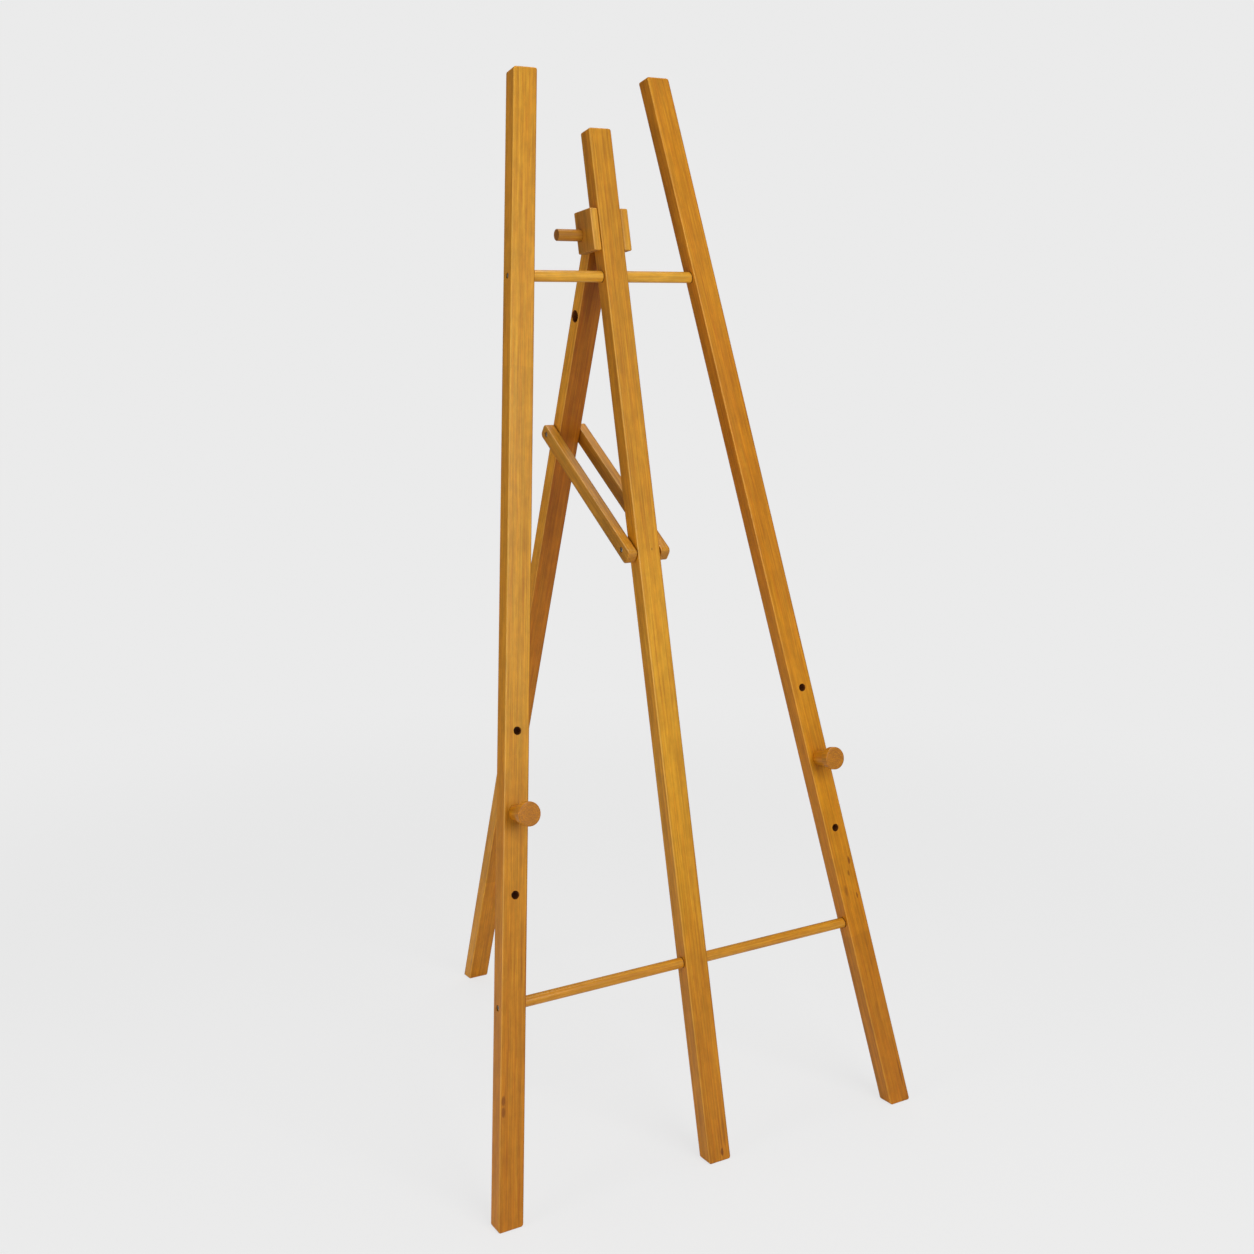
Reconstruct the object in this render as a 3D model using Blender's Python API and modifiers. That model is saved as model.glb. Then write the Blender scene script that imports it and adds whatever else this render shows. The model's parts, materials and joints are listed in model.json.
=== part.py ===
"""Free-standing wooden artist easel: three splayed front legs on two round rails, a rear leg
on a folding stay linkage, a pull-out pivot pin and two turned pegs that hold the canvas.

World frame: +Z up, feet on Z = 0, front facing -Y, origin under the middle of the whole
easel's box, frame symmetric about X = 0.  The front legs lie in one plane that leans back.
The empty "frame_plane" gives that plane's own axes: X across, Y depth behind the front
faces, Z up along the plane.
"""
import math

import bmesh
import bpy
from mathutils import Matrix, Vector

# ---- driving dimensions, metres and radians -----------------------------------------------
GAP = 0.0003                      # clearance between touching pieces

FRONT_Y = -0.4033                 # where the front faces' plane meets the floor
FRAME_LEAN = math.radians(11.7)   # front frame, from vertical
LEG_WIDTH = 0.036
LEG_DEPTH = 0.025
EDGE_ROUND = 0.0016
LEG_END_ROUND = 0.0028            # rounding of the edges at a front leg's top and foot

SIDE_LEG_TOP = 1.547              # height of the side legs along the frame plane
SIDE_LEG_FOOT_X = 0.3305          # half spread of the side legs' centre lines at the floor
SIDE_LEG_TOP_X = 0.107            # half spread at their tops
CENTRE_LEG_TOP = 1.468

RAIL_DEPTH = LEG_DEPTH / 2
TOP_RAIL_HEIGHT = 1.260
TOP_RAIL_RADIUS = 0.0080
BOTTOM_RAIL_HEIGHT = 0.286
BOTTOM_RAIL_RADIUS = 0.0075
RAIL_END_PAST_CENTRE = 0.005      # how far a rail end sits beyond the side leg's centre line
RAIL_END_CHAMFER = 0.0008

PEG_HOLE_HEIGHTS = (0.4305, 0.5380, 0.6455)
PEG_IN_HOLE = 1                   # the pegs sit in the middle holes
PEG_HOLE_RADIUS = 0.0055
PEG_TENON_RADIUS = 0.0052
PEG_TENON_LENGTH = 0.019
PEG_SHANK_RADIUS = 0.0113
PEG_SHANK_LENGTH = 0.0275
PEG_HEAD_RADIUS = 0.0165
PEG_HEAD_LENGTH = 0.0125
PEG_HEAD_ROUND = 0.0016

CHEEK_THICKNESS = 0.0125
CHEEK_FRONT = 0.001               # set back behind the centre leg's front face
CHEEK_BACK = 0.0480
CHEEK_HEIGHT = 0.060
CHEEK_SLANT = math.radians(6)     # how far the top and bottom rise towards the back
CHEEK_ROUND = 0.0022

PIVOT_HEIGHT = 1.3245             # pivot pin, along the frame plane
PIVOT_DEPTH = 0.0370
PIN_RADIUS = 0.0083
PIN_HOLE_RADIUS = 0.0086
PIN_LEFT_END = -0.0690
PIN_RIGHT_END = -0.0185           # stops short of the rear leg, so that the leg can swing
PIN_CHAMFER = 0.0010

REAR_FOOT_Y = FRONT_Y + 0.7945    # where the rear leg's centre line meets the floor
REAR_LEG_WIDTH = 0.0355
REAR_LEG_DEPTH = 0.0230

STAY_THICKNESS = 0.0145
STAY_DEPTH = 0.022
STAY_INNER_X = 0.0198             # inner face of each stay
STAY_LOW_HEIGHT = 0.8745          # lower stay screws, along the frame plane
STAY_LOW_DEPTH = 0.0190
STAY_HIGH_Z = 1.004               # world height of the upper stay screws
STAY_LOW_MARGIN = 0.0205
STAY_HIGH_MARGIN = 0.0130
STAY_CORNER_ROUND = 0.0045

SCREW_HEAD_RADIUS = 0.0038
SCREW_HEAD_HEIGHT = 0.0019
SCREW_SHANK_RADIUS = 0.0020
SCREW_SINK = 0.0025               # depth of the counterbore that takes a screw head
RAIL_SCREW_SINK = 0.0031
SCREW_SINK_RADIUS = 0.0042
STAY_SCREW_LENGTH = 0.027
RAIL_SCREW_LENGTH = 0.032
DRIVE_SLOT_WIDTH = 0.0010
DRIVE_SLOT_LENGTH = 0.0042
DRIVE_SLOT_DEPTH = 0.0011
WASHER_RADIUS = 0.0060
WASHER_THICKNESS = 0.0012

FINE_STEPS = 40
SMALL_STEPS = 24
LONG_CUT = 0.1                    # length of a through cutter

# ---- derived geometry ---------------------------------------------------------------------
SPLAY = math.atan2(SIDE_LEG_FOOT_X - SIDE_LEG_TOP_X, SIDE_LEG_TOP)
FRAME_MATRIX = Matrix.Translation((0, FRONT_Y, 0)) @ Matrix.Rotation(-FRAME_LEAN, 4, "X")


def on_frame(x, depth, height):
    """World place of a point given in the frame plane's own axes."""
    return FRAME_MATRIX @ Vector((x, depth, height))


PIVOT = on_frame(0, PIVOT_DEPTH, PIVOT_HEIGHT)
REAR_LEAN = math.atan2(REAR_FOOT_Y - PIVOT.y, PIVOT.z)
STAY_LOW = on_frame(0, STAY_LOW_DEPTH, STAY_LOW_HEIGHT)
STAY_HIGH = Vector((0, PIVOT.y + (PIVOT.z - STAY_HIGH_Z) * math.tan(REAR_LEAN), STAY_HIGH_Z))
PIVOT_TO_STAY = (PIVOT - STAY_HIGH).length
STAY_SPAN = (STAY_HIGH - STAY_LOW).length
STAY_RISE = math.atan2(STAY_HIGH.z - STAY_LOW.z, STAY_HIGH.y - STAY_LOW.y)

# Folded, the rear leg lies against the frame and its second hole meets the cheeks' pin hole.
FOLDED_STAY_REACH = math.sqrt(STAY_SPAN ** 2 - (PIVOT_DEPTH - STAY_LOW_DEPTH) ** 2)
FOLD_HOLE_BELOW_PIVOT = STAY_LOW_HEIGHT + FOLDED_STAY_REACH + PIVOT_TO_STAY - PIVOT_HEIGHT
STAY_OUTER_X = STAY_INNER_X + STAY_THICKNESS


def side_leg_x(height):
    """Half spread of the side legs' centre lines at a height along the frame plane."""
    return SIDE_LEG_FOOT_X - (SIDE_LEG_FOOT_X - SIDE_LEG_TOP_X) * height / SIDE_LEG_TOP


# ---- collections, materials and small helpers ---------------------------------------------
def clear_scene():
    for item in list(bpy.data.objects):
        bpy.data.objects.remove(item, do_unlink=True)


def new_collection(name):
    collection = bpy.data.collections.new(name)
    bpy.context.scene.collection.children.link(collection)
    return collection


def make_material(name, colour, roughness, metallic=0.0):
    material = bpy.data.materials.new(name)
    material.use_nodes = True
    shader = material.node_tree.nodes["Principled BSDF"]
    shader.inputs["Base Color"].default_value = (*colour, 1.0)
    shader.inputs["Roughness"].default_value = roughness
    shader.inputs["Metallic"].default_value = metallic
    material.diffuse_color = (*colour, 1.0)
    return material


clear_scene()
EASEL = new_collection("artist_easel")
CUTTERS = new_collection("cutters")

HONEY_BAMBOO = (0.60, 0.32, 0.075)
AMBER_BAMBOO = (0.50, 0.24, 0.050)
ZINC_STEEL = (0.55, 0.54, 0.50)


def add_object(name, mesh, parent=None, place=(0, 0, 0), turn=(0, 0, 0)):
    """Link a mesh as an object of the easel, with its place and turn under its parent."""
    item = bpy.data.objects.new(name, mesh)
    EASEL.objects.link(item)
    item.parent = parent
    item.location = place
    item.rotation_euler = turn
    return item


def add_empty(name, parent=None, place=(0, 0, 0), turn=(0, 0, 0)):
    empty = bpy.data.objects.new(name, None)
    empty.empty_display_size = 0.03
    EASEL.objects.link(empty)
    empty.parent = parent
    empty.location = place
    empty.rotation_euler = turn
    return empty


def finish(item, colour, roughness, metallic=0.0):
    """Give a piece its own material, and smooth shading across its rounded edges."""
    item.data.shade_smooth()
    item.data.set_sharp_from_angle(angle=math.radians(35))
    item.data.materials.append(make_material(item.name + "_finish", colour, roughness, metallic))
    return item


def box_mesh(name, low, high):
    """A box between two corners."""
    mesh = bpy.data.meshes.new(name)
    form = bmesh.new()
    bmesh.ops.create_cube(form, size=1.0)
    size = Vector(high) - Vector(low)
    middle = (Vector(high) + Vector(low)) / 2
    bmesh.ops.transform(form, matrix=Matrix.Translation(middle) @ Matrix.Diagonal((*size, 1)),
                        verts=form.verts)
    form.to_mesh(mesh)
    form.free()
    return mesh


def rounded_box_mesh(name, low, high, radius, corner_radius=0.0):
    """A box with every edge rounded, and first its four edges along X by corner_radius."""
    mesh = box_mesh(name, low, high)
    form = bmesh.new()
    form.from_mesh(mesh)
    if corner_radius > 0:
        along_x = [edge for edge in form.edges
                   if abs(edge.verts[0].co.x - edge.verts[1].co.x) > 1e-6]
        bmesh.ops.bevel(form, geom=along_x, offset=corner_radius, segments=4, profile=0.5,
                        affect="EDGES")
    sharp = [edge for edge in form.edges if edge.calc_face_angle(0) > math.radians(40)]
    bmesh.ops.bevel(form, geom=sharp, offset=radius, segments=2, profile=0.5, affect="EDGES")
    form.to_mesh(mesh)
    form.free()
    return mesh


def turned_piece(name, profile, steps, parent, place, turn, closed=False):
    """A solid turned about local Z from (radius, height) points that run top to bottom."""
    form = bmesh.new()
    points = [form.verts.new((radius, 0, height)) for radius, height in profile]
    for upper, lower in zip(points, points[1:]):
        form.edges.new((upper, lower))
    if closed:
        form.edges.new((points[-1], points[0]))
    mesh = bpy.data.meshes.new(name)
    form.to_mesh(mesh)
    form.free()
    item = add_object(name, mesh, parent, place, turn)
    turning = item.modifiers.new("turning", "SCREW")
    turning.axis = "Z"
    turning.angle = 2 * math.pi
    turning.steps = steps
    turning.render_steps = steps
    turning.use_merge_vertices = True
    turning.merge_threshold = 0.00005
    turning.use_smooth_shade = True
    return item


def cut(item, cutter):
    """Take a cutter's shape out of a piece."""
    CUTTERS.objects.link(cutter)
    cutter.hide_render = True
    cutter.display_type = "WIRE"
    hole = item.modifiers.new(cutter.name, "BOOLEAN")
    hole.operation = "DIFFERENCE"
    hole.solver = "EXACT"
    hole.object = cutter


def drill(item, label, start, along, length, radius, steps=SMALL_STEPS):
    """Cut a round hole that runs from a world point along a world direction."""
    mesh = bpy.data.meshes.new(label)
    form = bmesh.new()
    bmesh.ops.create_cone(form, cap_ends=True, segments=steps, radius1=radius, radius2=radius,
                          depth=length)
    bmesh.ops.translate(form, verts=form.verts, vec=(0, 0, length / 2))
    form.to_mesh(mesh)
    form.free()
    cutter = bpy.data.objects.new(item.name + "_" + label, mesh)
    turn = Vector(along).normalized().to_track_quat("Z", "Y").to_matrix().to_4x4()
    cutter.matrix_world = Matrix.Translation(start) @ turn
    cut(item, cutter)


def soften_bar(item, end_round):
    """Round a bar's long edges by EDGE_ROUND and the edges round its two ends by more."""
    mesh = item.data
    middle = sum(vertex.co.z for vertex in mesh.vertices) / len(mesh.vertices)
    weights = mesh.attributes.new("bevel_weight_edge", "FLOAT", "EDGE")
    for edge, weight in zip(mesh.edges, weights.data):
        ends = [mesh.vertices[index].co.z > middle for index in edge.vertices]
        weight.value = 1.0 if ends[0] == ends[1] else EDGE_ROUND / end_round
    rounding = item.modifiers.new("rounding", "BEVEL")
    rounding.limit_method = "WEIGHT"
    rounding.width = end_round
    rounding.segments = 2


# ---- front frame --------------------------------------------------------------------------
def front_leg(name, parent, foot_x, splay, top_height):
    """A front leg, mitred to stand flat on the floor and sawn level at its top."""
    def foot(x, y):
        return (y * math.tan(FRAME_LEAN) + x * math.sin(splay)) / math.cos(splay)

    def top(x, y):
        return (top_height + x * math.sin(splay)) / math.cos(splay)

    mesh = box_mesh(name, (-LEG_WIDTH / 2, 0, 0), (LEG_WIDTH / 2, LEG_DEPTH, 1))
    for corner in mesh.vertices:
        end = foot if corner.co.z < 0.5 else top
        corner.co.z = end(corner.co.x, corner.co.y)
    leg = add_object(name, mesh, parent, (foot_x, 0, 0), (0, splay, 0))
    soften_bar(leg, LEG_END_ROUND)
    return finish(leg, HONEY_BAMBOO, 0.42)


def rail_seats(leg, side, height, radius):
    """Blind seat for a rail's end and a counterbored hole for the screw that holds it."""
    centre_x = side_leg_x(height)
    outward = FRAME_MATRIX.to_3x3() @ Vector((side, 0, 0))
    inside = on_frame(side * (centre_x - LONG_CUT / 2), RAIL_DEPTH, height)
    seat_length = LONG_CUT / 2 + RAIL_END_PAST_CENTRE + GAP
    drill(leg, "rail_seat_%d" % round(height * 1000), inside, outward, seat_length,
          radius + GAP, FINE_STEPS)
    face_x = centre_x + LEG_WIDTH / 2 / math.cos(SPLAY)
    outside = on_frame(side * (face_x - RAIL_SCREW_SINK), RAIL_DEPTH, height)
    drill(leg, "screw_sink_%d" % round(height * 1000), outside, outward, LONG_CUT,
          SCREW_SINK_RADIUS)
    screw_start = on_frame(side * centre_x, RAIL_DEPTH, height)
    drill(leg, "screw_hole_%d" % round(height * 1000), screw_start, outward, LONG_CUT / 2,
          SCREW_SHANK_RADIUS + GAP)


def peg_holes(leg, side):
    """Through holes for the pegs, square to the leg's front face."""
    outward = FRAME_MATRIX.to_3x3() @ Vector((0, -1, 0))
    for number, height in enumerate(PEG_HOLE_HEIGHTS):
        start = on_frame(side * side_leg_x(height), LONG_CUT / 2, height)
        drill(leg, "peg_hole_%d" % number, start, outward, LONG_CUT, PEG_HOLE_RADIUS)


def side_leg(name, parent, side):
    leg = front_leg(name, parent, side * SIDE_LEG_FOOT_X, -side * SPLAY, SIDE_LEG_TOP)
    rail_seats(leg, side, TOP_RAIL_HEIGHT, TOP_RAIL_RADIUS)
    rail_seats(leg, side, BOTTOM_RAIL_HEIGHT, BOTTOM_RAIL_RADIUS)
    peg_holes(leg, side)
    return leg


def centre_leg(parent):
    leg = front_leg("centre_leg", parent, 0, 0, CENTRE_LEG_TOP)
    for label, height, radius in (("top_rail_hole", TOP_RAIL_HEIGHT, TOP_RAIL_RADIUS),
                                  ("bottom_rail_hole", BOTTOM_RAIL_HEIGHT, BOTTOM_RAIL_RADIUS)):
        start = on_frame(-LONG_CUT / 2, RAIL_DEPTH, height)
        drill(leg, label, start, (1, 0, 0), LONG_CUT, radius + GAP, FINE_STEPS)
    stay_pilots(leg, STAY_LOW)
    return leg


def stay_pilots(leg, pivot):
    """The two blind holes in a leg that take the stay screws' tips."""
    for side, label in ((-1, "left_pilot"), (1, "right_pilot")):
        start = pivot + Vector((side * LONG_CUT / 2, 0, 0))
        depth = LONG_CUT / 2 - (STAY_OUTER_X - STAY_SCREW_LENGTH) + 2 * GAP
        drill(leg, label, start, (-side, 0, 0), depth, SCREW_SHANK_RADIUS + GAP)


def rail(name, parent, height, radius):
    """A round rail whose ends sit in the side legs."""
    half = side_leg_x(height) + RAIL_END_PAST_CENTRE
    profile = ((0, half), (radius - RAIL_END_CHAMFER, half), (radius, half - RAIL_END_CHAMFER),
               (radius, RAIL_END_CHAMFER - half), (radius - RAIL_END_CHAMFER, -half), (0, -half))
    dowel = turned_piece(name, profile, FINE_STEPS, parent, (0, RAIL_DEPTH, height),
                         (0, math.pi / 2, 0))
    for side, label in ((-1, "left_pilot"), (1, "right_pilot")):
        start = on_frame(side * (half + LONG_CUT / 2), RAIL_DEPTH, height)
        drill(dowel, label, start, (-side, 0, 0), LONG_CUT / 2 + RAIL_SCREW_LENGTH - 0.008,
              SCREW_SHANK_RADIUS + GAP)
    return finish(dowel, HONEY_BAMBOO, 0.40)


def cheek(name, parent, side):
    """A block glued to the centre leg's side that carries the pivot pin."""
    inner = LEG_WIDTH / 2 + GAP
    outer = inner + CHEEK_THICKNESS
    edges = sorted((side * inner, side * outer))
    low = (edges[0], CHEEK_FRONT, PIVOT_HEIGHT - CHEEK_HEIGHT / 2)
    high = (edges[1], CHEEK_BACK, PIVOT_HEIGHT + CHEEK_HEIGHT / 2)
    mesh = rounded_box_mesh(name, low, high, CHEEK_ROUND)
    slant = Matrix.Identity(4)
    slant[2][1] = math.tan(CHEEK_SLANT)
    mesh.transform(slant)
    block = add_object(name, mesh, parent)
    start = on_frame(0, PIVOT_DEPTH, PIVOT_HEIGHT)
    length = LONG_CUT if side < 0 else inner + CHEEK_THICKNESS * 2 / 3
    drill(block, "pin_hole", start, (side, 0, 0), length, PIN_HOLE_RADIUS, FINE_STEPS)
    return finish(block, AMBER_BAMBOO, 0.42)


# ---- fasteners ----------------------------------------------------------------------------
def screw(name, parent, place, side, length):
    """A pan-head screw along X with its head outwards and a cross recess."""
    head, shank = SCREW_HEAD_RADIUS, SCREW_SHANK_RADIUS
    profile = ((0, 0), (head * 0.72, 0), (head, -SCREW_HEAD_HEIGHT * 0.45),
               (head, -SCREW_HEAD_HEIGHT), (shank, -SCREW_HEAD_HEIGHT),
               (shank, -length + 0.004), (shank * 0.25, -length), (0, -length))
    item = turned_piece(name, profile, SMALL_STEPS, parent, place, (0, side * math.pi / 2, 0))
    half_long, half_wide = DRIVE_SLOT_LENGTH / 2, DRIVE_SLOT_WIDTH / 2
    form_x = box_mesh("slot", (-half_long, -half_wide, -DRIVE_SLOT_DEPTH),
                      (half_long, half_wide, DRIVE_SLOT_DEPTH))
    form_y = box_mesh("slot", (-half_wide, -half_long, -DRIVE_SLOT_DEPTH),
                      (half_wide, half_long, DRIVE_SLOT_DEPTH))
    for label, mesh in (("slot_x", form_x), ("slot_y", form_y)):
        cutter = bpy.data.objects.new(name + "_" + label, mesh)
        cutter.parent = parent
        cutter.location = place
        cutter.rotation_euler = (0, side * math.pi / 2, 0)
        cut(item, cutter)
    return finish(item, ZINC_STEEL, 0.35, 1.0)


def rail_screw(name, parent, side, height):
    face_x = side_leg_x(height) + LEG_WIDTH / 2 / math.cos(SPLAY)
    head_x = face_x - RAIL_SCREW_SINK + SCREW_HEAD_HEIGHT + GAP
    return screw(name, parent, (side * head_x, RAIL_DEPTH, height), side, RAIL_SCREW_LENGTH)


def washer(name, parent, place):
    """A flat ring round a stay screw, between the stay and the leg."""
    inner = SCREW_SHANK_RADIUS + 2 * GAP
    half = WASHER_THICKNESS / 2
    profile = ((inner, half), (WASHER_RADIUS, half), (WASHER_RADIUS, -half), (inner, -half))
    ring = turned_piece(name, profile, SMALL_STEPS, parent, place, (0, math.pi / 2, 0),
                        closed=True)
    return finish(ring, ZINC_STEEL, 0.38, 1.0)


# ---- rear leg and stays -------------------------------------------------------------------
def rear_leg(parent):
    """The rear leg; its own origin is the upper stay pivot and its Z runs up the leg."""
    half = REAR_LEG_DEPTH / 2

    def foot(x, y):
        return -(STAY_HIGH.z + y * math.sin(REAR_LEAN)) / math.cos(REAR_LEAN)

    name = "rear_leg"
    mesh = box_mesh(name, (-REAR_LEG_WIDTH / 2, -half, 0), (REAR_LEG_WIDTH / 2, half, 1))
    form = bmesh.new()
    form.from_mesh(mesh)
    for corner in form.verts:
        if corner.co.z < 0.5:
            corner.co.z = foot(corner.co.x, corner.co.y)
        else:
            corner.co.z = PIVOT_TO_STAY + half
    top_edges = [edge for edge in form.edges
                 if all(end.co.z > PIVOT_TO_STAY for end in edge.verts)
                 and abs(edge.verts[0].co.x - edge.verts[1].co.x) > EDGE_ROUND]
    bmesh.ops.bevel(form, geom=top_edges, offset=half - GAP / 3, segments=8, profile=0.5,
                    affect="EDGES")
    sharp = [edge for edge in form.edges if edge.calc_face_angle(0) > math.radians(40)]
    bmesh.ops.bevel(form, geom=sharp, offset=EDGE_ROUND, segments=2, profile=0.5,
                    affect="EDGES")
    form.to_mesh(mesh)
    form.free()
    leg = add_object(name, mesh, parent)
    up_leg = Vector((0, -math.sin(REAR_LEAN), math.cos(REAR_LEAN)))
    across = Vector((-LONG_CUT / 2, 0, 0))
    fold_hole = PIVOT - FOLD_HOLE_BELOW_PIVOT * up_leg
    drill(leg, "pivot_hole", PIVOT + across, (1, 0, 0), LONG_CUT, PIN_HOLE_RADIUS, FINE_STEPS)
    drill(leg, "fold_hole", fold_hole + across, (1, 0, 0), LONG_CUT, PIN_HOLE_RADIUS, FINE_STEPS)
    stay_pilots(leg, STAY_HIGH)
    return finish(leg, AMBER_BAMBOO, 0.42)


def stay(name, parent, side):
    """A stay bar; its parent's Z runs from the lower screw to the upper one."""
    edges = sorted((side * STAY_INNER_X, side * STAY_OUTER_X))
    low = (edges[0], -STAY_DEPTH / 2, -STAY_LOW_MARGIN)
    high = (edges[1], STAY_DEPTH / 2, STAY_SPAN + STAY_HIGH_MARGIN)
    mesh = rounded_box_mesh(name, low, high, EDGE_ROUND * 0.7, STAY_CORNER_ROUND)
    bar = add_object(name, mesh, parent)
    for label, pivot in (("low", STAY_LOW), ("high", STAY_HIGH)):
        drill(bar, label + "_hole", pivot, (side, 0, 0), LONG_CUT, SCREW_SHANK_RADIUS + GAP)
        sink = pivot + Vector((side * (STAY_OUTER_X - SCREW_SINK), 0, 0))
        drill(bar, label + "_sink", sink, (side, 0, 0), LONG_CUT, SCREW_SINK_RADIUS)
    return finish(bar, HONEY_BAMBOO, 0.42)


def stay_fasteners(level, parent, place):
    """The two screws and two washers at one end of the stays."""
    head_x = STAY_OUTER_X - SCREW_SINK + SCREW_HEAD_HEIGHT + GAP
    washer_x = STAY_INNER_X - GAP - WASHER_THICKNESS / 2
    for side, label in ((-1, "left"), (1, "right")):
        screw("%s_stay_%s_screw" % (label, level), parent,
              place + Vector((side * head_x, 0, 0)), side, STAY_SCREW_LENGTH)
        washer("%s_stay_%s_washer" % (label, level), parent,
               place + Vector((side * washer_x, 0, 0)))


# ---- pin and pegs -------------------------------------------------------------------------
def pivot_pin(parent):
    """The pull-out pin, along X through the left cheek."""
    half = (PIN_RIGHT_END - PIN_LEFT_END) / 2
    profile = ((0, half), (PIN_RADIUS - PIN_CHAMFER, half), (PIN_RADIUS, half - PIN_CHAMFER),
               (PIN_RADIUS, PIN_CHAMFER - half), (PIN_RADIUS - PIN_CHAMFER, -half), (0, -half))
    middle_x = (PIN_RIGHT_END + PIN_LEFT_END) / 2
    pin = turned_piece("pivot_pin", profile, FINE_STEPS, parent,
                       (middle_x, PIVOT_DEPTH, PIVOT_HEIGHT), (0, math.pi / 2, 0))
    return finish(pin, HONEY_BAMBOO, 0.40)


def arc(centre, radius, start, end, steps):
    """Points on a quarter round of a profile, angles in degrees."""
    angles = [math.radians(start + (end - start) * step / steps) for step in range(steps + 1)]
    return [(centre[0] + radius * math.cos(a), centre[1] + radius * math.sin(a)) for a in angles]


def peg(name, parent, side):
    """A turned peg: a thin tenon in the hole, a thick shank and a round head."""
    face = PEG_SHANK_LENGTH + PEG_HEAD_LENGTH
    edge = PEG_HEAD_RADIUS - PEG_HEAD_ROUND
    profile = [(0, face)]
    profile += arc((edge, face - PEG_HEAD_ROUND), PEG_HEAD_ROUND, 90, 0, 4)
    profile += arc((edge, PEG_SHANK_LENGTH + PEG_HEAD_ROUND), PEG_HEAD_ROUND, 0, -90, 4)
    profile += [(PEG_SHANK_RADIUS, PEG_SHANK_LENGTH), (PEG_SHANK_RADIUS, 2 * GAP),
                (PEG_SHANK_RADIUS - GAP, GAP), (PEG_TENON_RADIUS, GAP),
                (PEG_TENON_RADIUS, 0.001 - PEG_TENON_LENGTH),
                (PEG_TENON_RADIUS - 0.001, -PEG_TENON_LENGTH), (0, -PEG_TENON_LENGTH)]
    height = PEG_HOLE_HEIGHTS[PEG_IN_HOLE]
    item = turned_piece(name, profile, FINE_STEPS, parent,
                        (side * side_leg_x(height), 0, height), (math.pi / 2, 0, 0))
    return finish(item, AMBER_BAMBOO, 0.45)


# ---- assembly -----------------------------------------------------------------------------
def build_easel():
    frame_plane = add_empty("frame_plane", place=(0, FRONT_Y, 0), turn=(-FRAME_LEAN, 0, 0))
    side_leg("left_leg", frame_plane, -1)
    side_leg("right_leg", frame_plane, 1)
    centre_leg(frame_plane)
    rail("top_rail", frame_plane, TOP_RAIL_HEIGHT, TOP_RAIL_RADIUS)
    rail("bottom_rail", frame_plane, BOTTOM_RAIL_HEIGHT, BOTTOM_RAIL_RADIUS)
    for side, label in ((-1, "left"), (1, "right")):
        cheek(label + "_cheek", frame_plane, side)
        rail_screw("top_rail_%s_screw" % label, frame_plane, side, TOP_RAIL_HEIGHT)
        rail_screw("bottom_rail_%s_screw" % label, frame_plane, side, BOTTOM_RAIL_HEIGHT)
        peg(label + "_peg", frame_plane, side)
    pivot_pin(frame_plane)

    stay_pivot = add_empty("stay_pivot", place=STAY_LOW, turn=(STAY_RISE - math.pi / 2, 0, 0))
    stay("left_stay", stay_pivot, -1)
    stay("right_stay", stay_pivot, 1)
    rear_pivot = add_empty("rear_leg_pivot", place=STAY_HIGH, turn=(REAR_LEAN, 0, 0))
    rear_leg(rear_pivot)
    stay_fasteners("low", None, STAY_LOW)
    stay_fasteners("high", None, STAY_HIGH)


build_easel()
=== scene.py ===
"""Looks of a free-standing wooden artist easel in satin-varnished bamboo.

Every visible piece is rebuilt here with finer edges, chamfered holes and turned profiles, in
its own local axes with the grain along local Z, and rides on its CAD body.  Procedural
materials read those local axes.
"""
import json
import math

import bmesh
import bpy
from mathutils import Matrix, Vector


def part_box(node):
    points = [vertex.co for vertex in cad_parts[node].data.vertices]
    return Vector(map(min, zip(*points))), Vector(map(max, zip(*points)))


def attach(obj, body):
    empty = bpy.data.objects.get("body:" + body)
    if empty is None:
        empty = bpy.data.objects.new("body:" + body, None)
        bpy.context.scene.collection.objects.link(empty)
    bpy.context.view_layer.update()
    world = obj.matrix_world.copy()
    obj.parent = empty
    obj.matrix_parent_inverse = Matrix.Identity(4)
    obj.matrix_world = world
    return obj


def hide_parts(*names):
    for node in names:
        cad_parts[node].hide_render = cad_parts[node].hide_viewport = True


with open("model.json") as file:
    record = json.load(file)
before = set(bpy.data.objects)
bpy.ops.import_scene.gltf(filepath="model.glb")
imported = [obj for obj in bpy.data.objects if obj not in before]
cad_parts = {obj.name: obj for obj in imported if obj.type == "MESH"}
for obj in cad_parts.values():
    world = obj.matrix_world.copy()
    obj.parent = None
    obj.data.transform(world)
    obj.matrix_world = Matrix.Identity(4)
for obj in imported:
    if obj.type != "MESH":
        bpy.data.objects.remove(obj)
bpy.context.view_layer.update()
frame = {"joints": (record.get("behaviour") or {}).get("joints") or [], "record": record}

MOUNTS = {mount["name"]: mount for mount in frame["record"]["mounts"]}
JOINTS = {joint["name"]: joint for joint in frame["joints"]}

# ---- sizes of the stock, metres ------------------------------------------------------------
GAP = 0.0003                      # clearance between touching pieces
LEG_WIDTH = 0.036
LEG_DEPTH = 0.025
EDGE_ROUND = 0.0016
LEG_END_ROUND = 0.0042            # rounding of the corners of a front leg's top and foot
SIDE_LEG_TOP = 1.547              # along the frame plane
CENTRE_LEG_TOP = 1.468

RAIL_DEPTH = LEG_DEPTH / 2
TOP_RAIL_HEIGHT = 1.260
TOP_RAIL_RADIUS = 0.0080
BOTTOM_RAIL_HEIGHT = 0.286
BOTTOM_RAIL_RADIUS = 0.0075
RAIL_END_PAST_CENTRE = 0.005
RAIL_CHAMFER = 0.0008
RAIL_RUNS = 12                    # lengths that a rail's long faces are divided into

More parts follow.
